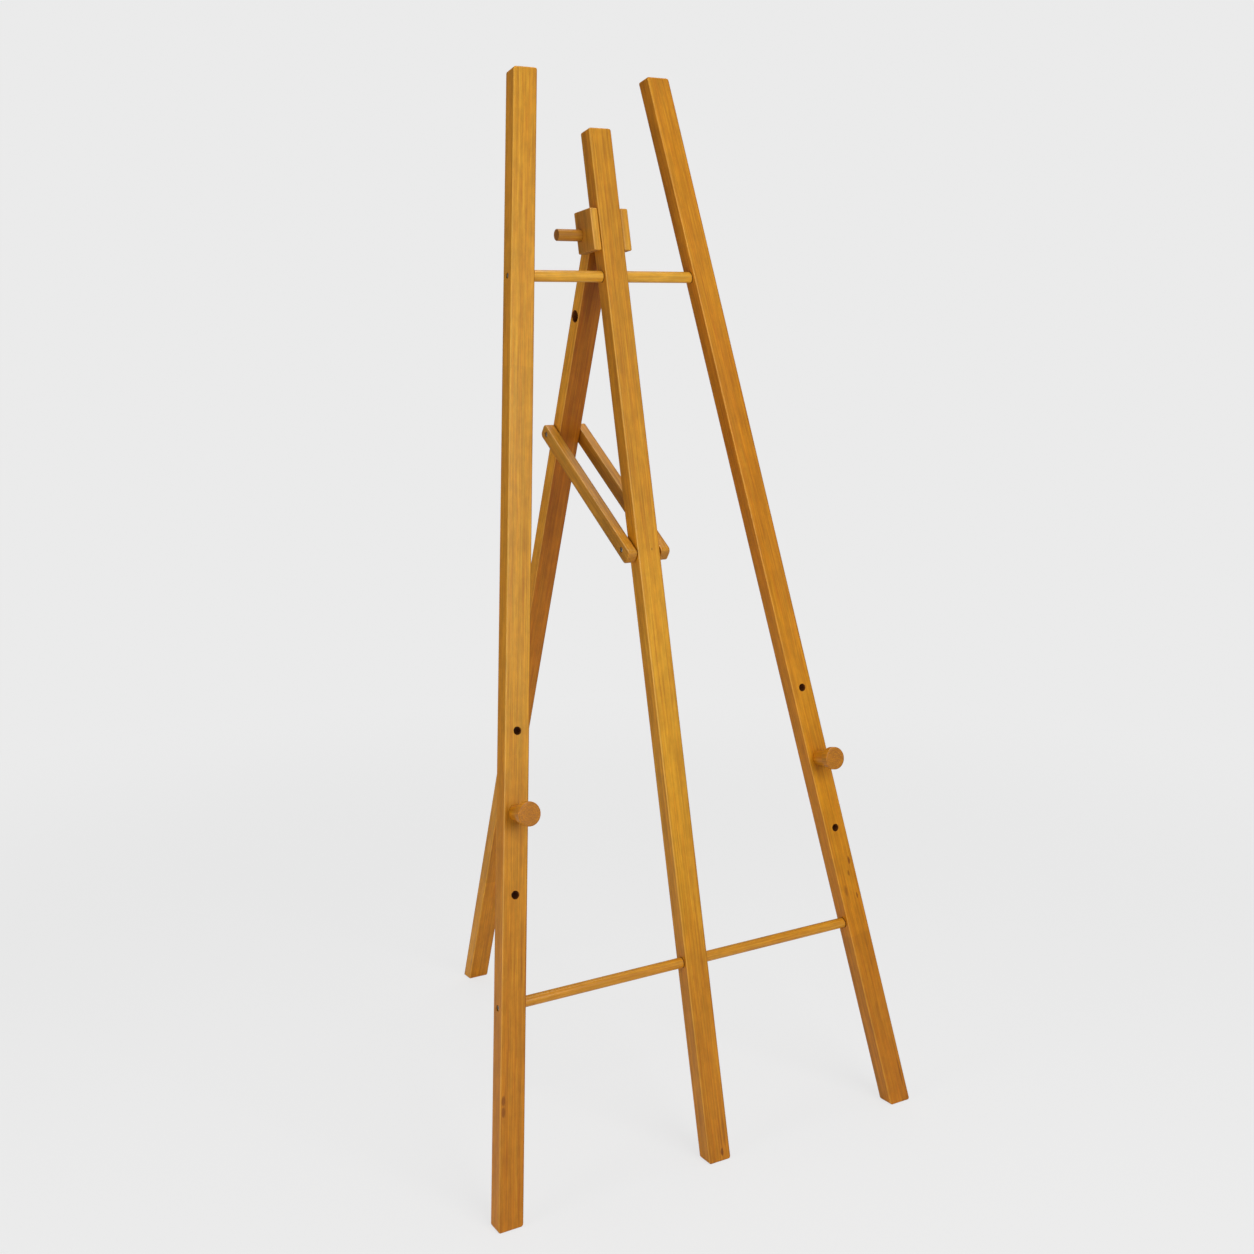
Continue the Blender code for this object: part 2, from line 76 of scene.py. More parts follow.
PEG_HOLE_HEIGHTS = (0.4305, 0.5380, 0.6455)
PEG_IN_HOLE = 1
PEG_HOLE_RADIUS = 0.0055
PEG_TENON_RADIUS = 0.0052
PEG_TENON_LENGTH = 0.019
PEG_SHANK_RADIUS = 0.0113
PEG_SHANK_LENGTH = 0.0275
PEG_HEAD_RADIUS = 0.0165
PEG_HEAD_LENGTH = 0.0125
PEG_HEAD_ROUND = 0.0018
PEG_NECK_ROUND = 0.0012           # fillet where the shank meets the head
PEG_FACE_HOLLOW = 0.00005         # shallow turned hollow in the head's end face
PEG_SHANK_CHAMFER = 0.0006
PEG_TENON_CHAMFER = 0.0010

CHEEK_THICKNESS = 0.0125
CHEEK_FRONT = 0.001
CHEEK_BACK = 0.0480
CHEEK_HEIGHT = 0.060
CHEEK_SLANT = math.radians(6)     # how far the top and bottom rise towards the back
CHEEK_ROUND = 0.0022
BLIND_HOLE_SHARE = 2 / 3          # of the right cheek's thickness that its pin hole takes
PIVOT_HEIGHT = 1.3245
PIVOT_DEPTH = 0.0370
PIN_RADIUS = 0.0083
PIN_HOLE_RADIUS = 0.0086
PIN_CHAMFER = 0.0010

REAR_LEG_WIDTH = 0.0355
REAR_LEG_DEPTH = 0.0230
STAY_THICKNESS = 0.0145
STAY_DEPTH = 0.022
STAY_INNER_X = 0.0198
STAY_LOW_MARGIN = 0.0205
STAY_HIGH_MARGIN = 0.0130
STAY_CORNER_ROUND = 0.0065

SCREW_HEAD_RADIUS = 0.0038
SCREW_HEAD_HEIGHT = 0.0019
SCREW_SHANK_RADIUS = 0.0020
SCREW_SINK = 0.0025
RAIL_SCREW_SINK = 0.0031
SCREW_SINK_RADIUS = 0.0042
STAY_SCREW_LENGTH = 0.027
RAIL_SCREW_LENGTH = 0.032
RAIL_PILOT_DEPTH = 0.024          # hole in a rail's end that takes its screw
SCREW_POINT_LENGTH = 0.004
RECESS_ARM = 0.0023               # half length, half width and depth of a cross recess
RECESS_HALF_WIDTH = 0.0006
RECESS_DEPTH = 0.0012
WASHER_RADIUS = 0.0060
WASHER_THICKNESS = 0.0012

HOLE_CHAMFER = 0.0005             # broken edge round each drilled hole
ROUND_SEGMENTS = 4                # steps in each rounded edge
FINE_STEPS = 72                   # sides of a turned wooden piece
SMALL_STEPS = 40                  # sides of a screw or washer
ROUND_TOP_SEGMENTS = 14           # steps in each half of the rear leg's rounded top
STAY_END_SEGMENTS = 6             # steps in each rounded corner of a stay
SIDE_TO_SIDE_SHARE = 0.6          # rounding of a bar end's edges along x, against those along y
ROUNDED_ANGLE = math.radians(40)  # sharper edges are rounded
SMOOTH_ANGLE = math.radians(38)   # sharper edges are shaded as edges
JOIN_DISTANCE = 0.00002           # nearer points of a turned form are one point
SLIVER = 0.000002                 # shorter edges are left-overs of a cut
LONG_CUT = 0.1                    # length of a cutter that runs right through a piece

# ---- places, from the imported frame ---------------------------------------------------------
FACE = MOUNTS["canvas_face_centre"]
FRONT_NORMAL = Vector(FACE["axis"])
FRAME_LEAN = math.asin(FRONT_NORMAL.z)
FACE_HEIGHT = FACE["pos_m"][2] / math.cos(FRAME_LEAN)
FRONT_Y = FACE["pos_m"][1] - FACE_HEIGHT * math.sin(FRAME_LEAN)
FRAME_PLANE = Matrix.Translation((0, FRONT_Y, 0)) @ Matrix.Rotation(-FRAME_LEAN, 4, "X")
SIDE_LEG_FOOT_X = MOUNTS["right_foot"]["pos_m"][0]
LEG_SLOPE = (SIDE_LEG_FOOT_X - MOUNTS["canvas_face_right"]["pos_m"][0]) / FACE_HEIGHT
SPLAY = math.atan(LEG_SLOPE)

STAY_LOW = Vector(JOINTS["stay_fold"]["pos_m"])
STAY_HIGH = Vector(JOINTS["rear_leg_fold"]["pos_m"])
PIVOT = FRAME_PLANE @ Vector((0, PIVOT_DEPTH, PIVOT_HEIGHT))
REAR_LEAN = math.atan2(STAY_HIGH.y - PIVOT.y, PIVOT.z - STAY_HIGH.z)
STAY_RISE = math.atan2(STAY_HIGH.z - STAY_LOW.z, STAY_HIGH.y - STAY_LOW.y)
STAY_SPAN = (STAY_HIGH - STAY_LOW).length
PIVOT_TO_STAY = (PIVOT - STAY_HIGH).length
STAY_OUTER_X = STAY_INNER_X + STAY_THICKNESS
STAY_LOW_DEPTH = (FRAME_PLANE.inverted() @ STAY_LOW).y
STAY_LOW_HEIGHT = (FRAME_PLANE.inverted() @ STAY_LOW).z
FOLDED_STAY_REACH = math.sqrt(STAY_SPAN ** 2 - (PIVOT_DEPTH - STAY_LOW_DEPTH) ** 2)
FOLD_HOLE_BELOW_PIVOT = STAY_LOW_HEIGHT + FOLDED_STAY_REACH + PIVOT_TO_STAY - PIVOT_HEIGHT
PIN_LEFT_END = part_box("pivot_pin")[0].x
PIN_RIGHT_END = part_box("pivot_pin")[1].x

SIDES = ((-1, "left"), (1, "right"))


def on_frame(x, depth, height):
    """World place of a point given in the frame plane's own axes."""
    return FRAME_PLANE @ Vector((x, depth, height))


def side_leg_x(height):
    """Half spread of the side legs' centre lines at a height along the frame plane."""
    return SIDE_LEG_FOOT_X - LEG_SLOPE * height


# ---- materials -----------------------------------------------------------------------------
class Shader:
    """A material's node tree, with short calls for the nodes used here."""

    def __init__(self, name):
        self.material = bpy.data.materials.new(name)
        self.material.use_nodes = True
        self.tree = self.material.node_tree
        self.surface = self.tree.nodes["Principled BSDF"]

    def node(self, kind, inputs, **settings):
        item = self.tree.nodes.new(kind)
        for key, value in settings.items():
            setattr(item, key, value)
        for key, value in inputs.items():
            self.feed(item.inputs[key], value)
        return item

    def feed(self, socket, value):
        if isinstance(value, bpy.types.NodeSocket):
            self.tree.links.new(value, socket)
        else:
            socket.default_value = value

    def maths(self, operation, first, second=0.0, third=0.0):
        inputs = {0: first, 1: second, 2: third}
        return self.node("ShaderNodeMath", inputs, operation=operation).outputs[0]

    def spread(self, value, low, high, to_low=0.0, to_high=1.0):
        """Map low..high smoothly to to_low..to_high, clamped."""
        inputs = {0: value, 1: low, 2: high, 3: to_low, 4: to_high}
        item = self.node("ShaderNodeMapRange", inputs, interpolation_type="SMOOTHSTEP")
        return item.outputs[0]

    def mix(self, share, first, second, blend="MIX"):
        item = self.tree.nodes.new("ShaderNodeMix")
        item.data_type = "RGBA"
        item.blend_type = blend
        self.feed(item.inputs[0], share)
        self.feed(item.inputs[6], first)
        self.feed(item.inputs[7], second)
        return item.outputs[2]

    def ramp(self, value, stops):
        """A colour ramp from (position, colour) stops."""
        item = self.node("ShaderNodeValToRGB", {0: value})
        band = item.color_ramp
        while len(band.elements) < len(stops):
            band.elements.new(0.5)
        for element, (position, colour) in zip(band.elements, stops):
            element.position = position
            element.color = colour
        return item.outputs[0]

    def stretched(self, coords, spread, shift):
        """Coordinates divided by a feature size along each axis, in metres, and shifted."""
        scale = [1 / size for size in spread]
        inputs = {"Vector": coords, "Location": shift, "Scale": scale}
        return self.node("ShaderNodeMapping", inputs).outputs[0]

    def noise(self, coords, detail=2.0, roughness=0.5, distortion=0.0):
        inputs = {"Vector": coords, "Scale": 1.0, "Detail": detail, "Roughness": roughness,
                  "Distortion": distortion}
        return self.node("ShaderNodeTexNoise", inputs).outputs[0]


def rgb(text):
    """Linear colour from an sRGB hex string."""
    def linear(value):
        return value / 12.92 if value <= 0.04045 else ((value + 0.055) / 1.055) ** 2.4
    return (*[linear(int(text[i:i + 2], 16) / 255) for i in (0, 2, 4)], 1.0)


FIBRE_DARK = rgb("BC7414")
FIBRE_MID = rgb("CF9020")
FIBRE_LIGHT = rgb("E0A834")
EDGE_PAINTED_HIGHLIGHT = rgb("F2BE5E")         # painted highlight along the front left arris, where the light catches it
EDGE_PAINTED_SHADE = rgb("8E4C08")        # painted shade along the other arrises, which turn from the light
FLECK = rgb("A85C0E")
STAIN = rgb("783A06")
END_GRAIN = rgb("B47A34")
END_DOT = rgb("4A2408")
RING_PITCH = 0.0034               # spacing of the rings on a turned piece's end, metres
BORE_PAINTED_SHADE = rgb("6E3812")         # painted shade on the wall of a drilled hole, where little light gets in
SEAM_PAINTED_SHADE = rgb("5C2E08")         # painted shade where a rail enters a leg
SIDE_TINT_AND_LIGHT = (1.06, 0.97, 0.98)    # the strips' own sides are a little redder, and the side tints also paint the side faces' light and shade
FOOT_SHADE = (0.60, 0.0, (0.90, 0.78, 0.64), 0.3)    # a leg darkens towards the floor: partly its own warmer tone, partly painted shade; its sides take less of it
STEP_BLUR = 0.0008                # half height of the line where the stock's tone changes
ARRIS_STARTS = 0.0017             # how far in from a face the arris' painted highlight and shade start
ARRIS_FULL = 0.0006               # and how far in it is full
MIDDLE_BLUR = 0.002               # half width of the change from one side's arrises to the other's


class GrainShader(Shader):
    """A shader that knows its piece's own axes, with the grain along local Z."""

    def __init__(self, name, seed):
        super().__init__(name)
        place = self.node("ShaderNodeTexCoord", {})
        self.coords = place.outputs["Object"]
        self.axes = tuple(self.node("ShaderNodeSeparateXYZ", {0: self.coords}).outputs)
        self.shift = (seed * 3.17, seed * 7.31, seed * 1.73)
        normal = self.node("ShaderNodeSeparateXYZ", {0: place.outputs["Normal"]}).outputs
        self.flank = self.spread(self.maths("ABSOLUTE", normal[0]), 0.60, 0.85)
        self.end = self.spread(self.maths("ABSOLUTE", normal[2]), 0.70, 0.86)

    def grained(self, feature):
        """Local coordinates divided by a feature size along each axis, in metres."""
        return self.stretched(self.coords, feature, self.shift)

    def cells(self, feature, **settings):
        inputs = {"Vector": self.grained(feature)}
        return self.node("ShaderNodeTexVoronoi", inputs, **settings).outputs


def bamboo_fibres(shader):
    """Fibre pattern drawn out along local Z, as (broad bands, streaks, hair-fine lines)."""
    bands = shader.noise(shader.grained((0.009, 0.009, 0.160)), 3.0, 0.5)
    streaks = shader.noise(shader.grained((0.0026, 0.0026, 0.110)), 3.0, 0.55)
    hairs = shader.noise(shader.grained((0.0010, 0.0010, 0.050)), 3.0, 0.6)
    return bands, streaks, hairs


def strip_level(shader, bands):
    """Brightness of the laminated strips, with their broad bands and blotches."""
    strips = shader.cells((0.0072, 0.0072, 1.4), distance="CHEBYCHEV")
    strip_tone = shader.spread(strips["Color"], 0.0, 1.0, 0.92, 1.08)
    band_tone = shader.spread(bands, 0.30, 0.70, 0.93, 1.07)
    blotches = shader.noise(shader.grained((0.011, 0.011, 0.026)), 4.0, 0.65)
    level = shader.maths("MULTIPLY", strip_tone, band_tone)
    return shader.maths("MULTIPLY", level, shader.spread(blotches, 0.30, 0.70, 0.90, 1.08))


def stock_tone(shader, bands, tint, steps, shades):
    """Tint of a piece's stock, with its steps and its slow shades along the grain; on the rear leg
    these are painted shadow.
    """
    z = shader.axes[2]
    level = strip_level(shader, bands)
    for height, factor in steps:
        past = shader.spread(z, height - STEP_BLUR, height + STEP_BLUR, 1.0, factor)
        level = shader.maths("MULTIPLY", level, past)
    grey = shader.node("ShaderNodeCombineColor", {0: level, 1: level, 2: level}).outputs[0]
    tone = shader.mix(1.0, grey, (*tint, 1.0), "MULTIPLY")
    for starts, full, shade, on_sides in shades:
        ends = (0.0, 1.0) if full > starts else (1.0, 0.0)
        share = shader.spread(z, min(starts, full), max(starts, full), *ends)
        on_face = shader.spread(shader.flank, 0.0, 1.0, 1.0, on_sides)
        share = shader.maths("MULTIPLY", share, on_face)
        tone = shader.mix(share, tone, shader.mix(1.0, tone, (*shade, 1.0), "MULTIPLY"))
    return tone


def flecks(shader):
    """Share of the scattered flecks."""
    cells = shader.cells((0.0060, 0.0060, 0.040))
    near = shader.spread(cells["Distance"], 0.05, 0.45, 1.0, 0.0)
    rare = shader.spread(cells["Color"], 0.60, 0.95)
    return shader.maths("MULTIPLY", near, rare)


def stains(shader, ragged_by, marks, half_depth):
    """Strength of the dark marks on the front, from (x, z, width, length, strength)."""
    x, y, z = shader.axes
    front = shader.spread(y, -half_depth * 0.8, -half_depth * 0.4, 1.0, 0.0)
    ragged = shader.maths("MULTIPLY", shader.maths("SUBTRACT", ragged_by, 0.5), 1.6)
    total = 0.0
    for mark_x, mark_z, width, length, strength in marks:
        across = shader.maths("DIVIDE", shader.maths("SUBTRACT", x, mark_x), width / 2)
        along = shader.maths("DIVIDE", shader.maths("SUBTRACT", z, mark_z), length / 2)
        reach = shader.maths("ADD", shader.maths("MULTIPLY", across, across),
                             shader.maths("MULTIPLY", along, along))
        reach = shader.maths("ADD", reach, ragged)
        inside = shader.spread(reach, 0.25, 1.1, strength, 0.0)
        total = shader.maths("MAXIMUM", total, shader.maths("MULTIPLY", inside, front))
    return total


def distance(shader, first, second):
    """Length of the hypotenuse over two lengths."""
    squares = shader.maths("ADD", shader.maths("MULTIPLY", first, first),
                           shader.maths("MULTIPLY", second, second))
    return shader.maths("SQRT", squares)


def bore_wall_shade(shader, bores):
    """Share of painted shade on drilled walls, from (axis across, z, radius) of holes through x or
    y.
    """
    total = 0.0
    for across, height, radius in bores:
        rise = shader.maths("SUBTRACT", shader.axes[2], height)
        reach = distance(shader, shader.axes[across], rise)
        wall = shader.spread(reach, radius, radius + HOLE_CHAMFER, 0.85, 0.0)
        total = shader.maths("MAXIMUM", total, wall)
    return total


def seam_shade(shader, seams):
    """Share of painted shade round a rail where it enters a leg, from (z, slope against x) pairs.
    """
    total = 0.0
    for height, slope in seams:
        line = shader.maths("MULTIPLY_ADD", shader.axes[0], slope, height)
        off = shader.maths("ABSOLUTE", shader.maths("SUBTRACT", shader.axes[2], line))
        total = shader.maths("MAXIMUM", total, shader.spread(off, 0.0006, 0.0020, 0.90, 0.0))
    return total


def paint_arris_light(shader, colour, tone, half_size):
    """Paint a highlight along the front left arris, and painted shade along the others."""
    x, y = shader.axes[:2]
    near_x, near_y = [shader.spread(shader.maths("ABSOLUTE", axis), half - ARRIS_STARTS,
                                    half - ARRIS_FULL) for axis, half in zip((x, y), half_size)]
    edge = shader.maths("MULTIPLY", near_x, near_y)
    shaded_side = shader.maths("MAXIMUM", shader.spread(x, -MIDDLE_BLUR, MIDDLE_BLUR),
                              shader.spread(y, -MIDDLE_BLUR, MIDDLE_BLUR))
    pale = shader.mix(0.8, EDGE_PAINTED_HIGHLIGHT, tone, "MULTIPLY")
    arris = shader.mix(shaded_side, pale, EDGE_PAINTED_SHADE)
    share = shader.maths("MULTIPLY", edge, shader.spread(shaded_side, 0.0, 1.0, 0.55, 0.85))
    return shader.mix(share, colour, arris)


def fibre_ends(shader):
    """Share of the dark dots that the cut fibres make in end grain."""
    return shader.spread(shader.cells((0.0011, 0.0011, 0.02))["Distance"], 0.16, 0.42, 1.0, 0.0)


def end_grain(shader, dots, tone, turned):
    """Colour of a face across the grain; a turned piece has rings and fewer dots."""
    cloud = shader.noise(shader.grained((0.0034, 0.0014, 0.05)), 2.0, 0.5, 1.2)
    base = shader.mix(shader.spread(cloud, 0.35, 0.65), END_GRAIN, FIBRE_MID)
    base = shader.mix(0.8, base, tone, "MULTIPLY")
    dot_share = 0.10 if turned else 0.62
    colour = shader.mix(shader.maths("MULTIPLY", dots, dot_share), base, END_DOT)
    if turned:
        radius = distance(shader, *shader.axes[:2])
        phase = shader.maths("MULTIPLY_ADD", radius, 2 * math.pi / RING_PITCH,
                             shader.maths("MULTIPLY", cloud, 9.0))
        ring = shader.spread(shader.maths("SINE", phase), -0.2, 1.0, 0.0, 0.42)
        colour = shader.mix(ring, colour, FLECK)
    return colour


def fibre_relief(shader, streaks, hairs, stain, dots):
    """Surface normal over the raised fibres, the sunken stains and the open fibre ends."""
    relief = shader.maths("ADD", shader.maths("MULTIPLY", streaks, 0.6),
                          shader.maths("MULTIPLY", hairs, 0.4))
    relief = shader.maths("SUBTRACT", relief, shader.maths("MULTIPLY", stain, 0.4))
    open_ends = shader.maths("MULTIPLY", dots, shader.end)
    relief = shader.maths("SUBTRACT", relief, shader.maths("MULTIPLY", open_ends, 0.8))
    inputs = {"Strength": 0.12, "Distance": 0.0004, "Height": relief}
    return shader.node("ShaderNodeBump", inputs).outputs[0]


def add_varnish(shader, hairs, coat, bore_shade_and_bare):
    """Satin varnish, uneven, duller where the end grain drinks it and absent from the bore walls.
    """
    cloud = shader.noise(shader.grained((0.03, 0.03, 0.22)), 2.0)
    rough = shader.maths("ADD", shader.spread(cloud, 0.3, 0.7, 0.34, 0.46),
                         shader.maths("MULTIPLY", hairs, 0.10))
    rough = shader.maths("ADD", rough, shader.maths("MULTIPLY", shader.end, 0.16))
    if bore_shade_and_bare is not None:
        coat = shader.spread(bore_shade_and_bare, 0.0, 0.8, coat, 0.0)
        rough = shader.maths("MAXIMUM", rough, bore_shade_and_bare)
    inputs = shader.surface.inputs
    shader.feed(inputs["Roughness"], rough)
    shader.feed(inputs["Coat Weight"], coat)
    inputs["Coat Roughness"].default_value = 0.22
    inputs["Specular IOR Level"].default_value = 0.30


def bamboo(name, half_size, seed, tint, steps=(), marks=(), bores=(), shades=(),
           side_tint_and_light=SIDE_TINT_AND_LIGHT, seams=()):
    """Varnished bamboo with its grain along local Z.

    half_size is a rectangular bar's half width and depth, and None for a turned piece.
    steps are (height, tone) pairs: above that height the tone changes, the stock's own on the
    front legs and a painted shadow on the rear leg.  shades are slow changes of tint along the
    bar, as (height where it starts, height where it is full, tint, share of it that the sides
    take).  marks are dark stains, bores are drilled holes whose walls get painted shade and
    seams are lines of painted shade round a rail.  The side tint colours the side faces, their
    painted light and shade included.
    """
    turned = half_size is None
    shader = GrainShader(name, seed)
    bands, streaks, hairs = bamboo_fibres(shader)
    fibre = shader.maths("MULTIPLY_ADD", streaks, 0.46, shader.maths("MULTIPLY", hairs, 0.54))
    colour = shader.ramp(fibre, ((0.30, FIBRE_DARK), (0.50, FIBRE_MID), (0.70, FIBRE_LIGHT)))
    tone = stock_tone(shader, bands, tint, steps, shades)
    colour = shader.mix(1.0, colour, tone, "MULTIPLY")
    # the side faces take the side tint: their own tone with painted light and shade
    if not turned:
        flank_colour_and_light = shader.mix(1.0, colour, (*side_tint_and_light, 1.0), "MULTIPLY")
        colour = shader.mix(shader.flank, colour, flank_colour_and_light)

    fleck = flecks(shader)
    colour = shader.mix(shader.maths("MULTIPLY", fleck, 0.22), colour, FLECK)
    stain = shader.maths("MULTIPLY", fleck, 0.08)
    if marks:
        stain = shader.maths("MAXIMUM", stain, stains(shader, streaks, marks, half_size[1]))
    colour = shader.mix(stain, colour, STAIN)
    # painted highlight on the front left arris, painted shade on the other arrises
    if not turned:
        colour = paint_arris_light(shader, colour, tone, half_size)

    dots = fibre_ends(shader)
    colour = shader.mix(shader.end, colour, end_grain(shader, dots, tone, turned))
    bore_shade_and_bare = bore_wall_shade(shader, bores) if bores else None
    # painted shade on the walls of the drilled holes, which are also left bare of varnish
    if bores:
        colour = shader.mix(bore_shade_and_bare, colour, BORE_PAINTED_SHADE)
    # painted shade lines where the rail enters the legs
    if seams:
        colour = shader.mix(seam_shade(shader, seams), colour, SEAM_PAINTED_SHADE)
    shader.feed(shader.surface.inputs["Base Color"], colour)
    shader.feed(shader.surface.inputs["Normal"],
                fibre_relief(shader, streaks, hairs, stain, dots))
    add_varnish(shader, hairs, 0.35 if turned else 0.15, bore_shade_and_bare)
    return shader.material


ZINC_DARK = rgb("8C8A84")
ZINC_BRIGHT = rgb("D6D4CC")
WASHER_DARK = rgb("6E6C68")
WASHER_BRIGHT = rgb("A8A6A0")


def zinc(name, seed, dark, bright):
    """Zinc-plated steel with fine grit and dull patches."""
    shader = Shader(name)
    coords = shader.node("ShaderNodeTexCoord", {}).outputs["Object"]
    shift = (seed * 2.3, seed * 4.1, seed * 0.9)
    patches = shader.noise(shader.stretched(coords, (0.0016, 0.0016, 0.0016), shift), 4.0, 0.6)
    grit = shader.noise(shader.stretched(coords, (0.00035, 0.00035, 0.0012), shift), 2.0)
    colour = shader.ramp(patches, ((0.35, dark), (0.62, bright)))
    rough = shader.maths("ADD", shader.spread(patches, 0.3, 0.7, 0.42, 0.26),
                         shader.maths("MULTIPLY", grit, 0.08))
    bump = shader.node("ShaderNodeBump", {"Strength": 0.3, "Distance": 0.0001,
                                          "Height": grit}).outputs[0]
    shader.feed(shader.surface.inputs["Base Color"], colour)
    shader.feed(shader.surface.inputs["Roughness"], rough)
    shader.feed(shader.surface.inputs["Normal"], bump)
    shader.surface.inputs["Metallic"].default_value = 1.0
    return shader.material


# ---- shaping tools -------------------------------------------------------------------------
def box_form(low, high):
    """A bmesh box between two corners."""
    form = bmesh.new()
    bmesh.ops.create_cube(form, size=1.0)
    size = Vector(high) - Vector(low)
    middle = (Vector(high) + Vector(low)) / 2
    bmesh.ops.transform(form, matrix=Matrix.Translation(middle) @ Matrix.Diagonal((*size, 1)),
                        verts=form.verts)
    return form


def round_edges(form, radius, edges=None, segments=ROUND_SEGMENTS):
    """Round the given edges, or every edge sharper than ROUNDED_ANGLE."""
    if edges is None:
        edges = [edge for edge in form.edges if edge.calc_face_angle(0) > ROUNDED_ANGLE]
    bmesh.ops.bevel(form, geom=edges, offset=radius, segments=segments, profile=0.5,
                    affect="EDGES")


def soften_bar(item):
    """Round a bar's long edges by EDGE_ROUND, and those round its ends by LEG_END_ROUND.

    The end edges that run from side to side have only a share of that.
    """
    mesh = item.data
    middle = sum(vertex.co.z for vertex in mesh.vertices) / len(mesh.vertices)
    weights = mesh.attributes.new("bevel_weight_edge", "FLOAT", "EDGE")
    for edge, weight in zip(mesh.edges, weights.data):
        ends = [mesh.vertices[index].co.z > middle for index in edge.vertices]
        if ends[0] != ends[1]:
            weight.value = EDGE_ROUND / LEG_END_ROUND
        else:
            run = mesh.vertices[edge.vertices[0]].co - mesh.vertices[edge.vertices[1]].co
            weight.value = 1.0 if abs(run.y) > abs(run.x) else SIDE_TO_SIDE_SHARE
    rounding = item.modifiers.new("rounding", "BEVEL")
    rounding.limit_method = "WEIGHT"
    rounding.width = LEG_END_ROUND
    rounding.segments = ROUND_SEGMENTS


def new_piece(name, form, place):
    """Turn a bmesh into an object at a world matrix."""
    mesh = bpy.data.meshes.new(name)
    form.to_mesh(mesh)
    form.free()
    item = bpy.data.objects.new(name, mesh)
    bpy.context.scene.collection.objects.link(item)
    item.matrix_world = place
    return item


def turned_form(profile, steps):
    """A bmesh turned about Z from (radius, height) points that run top to bottom."""
    form = bmesh.new()
    points = [form.verts.new((radius, 0, height)) for radius, height in profile]
    edges = [form.edges.new(pair) for pair in zip(points, points[1:])]
    bmesh.ops.spin(form, geom=points + edges, cent=(0, 0, 0), axis=(0, 0, 1),
                   angle=2 * math.pi, steps=steps, use_merge=True)
    bmesh.ops.remove_doubles(form, verts=form.verts, dist=JOIN_DISTANCE)
    bmesh.ops.recalc_face_normals(form, faces=form.faces)
    return form


def arc(centre, radius, start, end, steps):
    """Points on an arc of a profile, angles in degrees."""
    angles = [math.radians(start + (end - start) * step / steps) for step in range(steps + 1)]
    return [(centre[0] + radius * math.cos(a), centre[1] + radius * math.sin(a)) for a in angles]


def aim(start, along):
    """World matrix whose Z runs from a point along a direction."""
    turn = Vector(along).normalized().to_track_quat("Z", "Y").to_matrix().to_4x4()
    return Matrix.Translation(start) @ turn


def carve(item, cutters):
    """Cut a list of (bmesh, world matrix) forms out of a piece, and keep the result."""
    tools = []
    for form, place in cutters:
        tool = new_piece(item.name + "_cutter", form, place)
        cut = item.modifiers.new("cut", "BOOLEAN")
        cut.solver = "EXACT"
        cut.object = tool
        tools.append(tool)
    bpy.context.view_layer.update()
    graph = bpy.context.evaluated_depsgraph_get()
    form = bmesh.new()
    form.from_object(item, graph)
    bmesh.ops.dissolve_degenerate(form, edges=form.edges, dist=SLIVER)
    carved = bpy.data.meshes.new(item.name)
    form.to_mesh(carved)
    form.free()
    item.modifiers.clear()
    item.data = carved
    for tool in tools:
        bpy.data.objects.remove(tool, do_unlink=True)


def drill(start, along, length, radius, chamfers=(), steps=FINE_STEPS):
    """A round cutter from a point.

    chamfers are up to two distances along it at which it meets a face of the piece: the
    far one, where it leaves, and the near one, where it enters.
    """
    wide, flare = radius + 2 * HOLE_CHAMFER, HOLE_CHAMFER
    profile = [(0, length), (radius, length), (radius, 0), (0, 0)]
    if chamfers:
        leaves = chamfers[0]
        profile[1:2] = [(wide, length), (wide, leaves + flare), (radius, leaves - flare)]
    if len(chamfers) > 1:
        enters = chamfers[1]
        profile[-2:-1] = [(radius, enters + flare), (wide, enters - flare), (wide, 0)]
    return turned_form(profile, steps), aim(start, along)


def finish(item, body, node, material):
    """Shade a piece, give it its material and hand it to its CAD body."""
    item.data.materials.clear()
    item.data.materials.append(material)
    item.data.shade_smooth()
    item.data.set_sharp_from_angle(angle=SMOOTH_ANGLE)
    normals = item.modifiers.new("flat_faces", "WEIGHTED_NORMAL")
    normals.keep_sharp = True
    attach(item, body)
    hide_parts(node)
    return item


# ---- front frame ---------------------------------------------------------------------------
def front_leg(name, foot_x, splay, top_height):
    """A front leg, mitred to stand flat on the floor and sawn level at its top."""
    half = LEG_DEPTH / 2
    form = box_form((-LEG_WIDTH / 2, -half, 0), (LEG_WIDTH / 2, half, 1))
    for corner in form.verts:
        lean = corner.co.x * math.sin(splay)
        if corner.co.z < 0.5:
            corner.co.z = ((corner.co.y + half) * math.tan(FRAME_LEAN) + lean) / math.cos(splay)
        else:
            corner.co.z = (top_height + lean) / math.cos(splay)
    place = (FRAME_PLANE @ Matrix.Translation((foot_x, half, 0))
             @ Matrix.Rotation(splay, 4, "Y"))
    leg = new_piece(name, form, place)
    soften_bar(leg)
    return leg


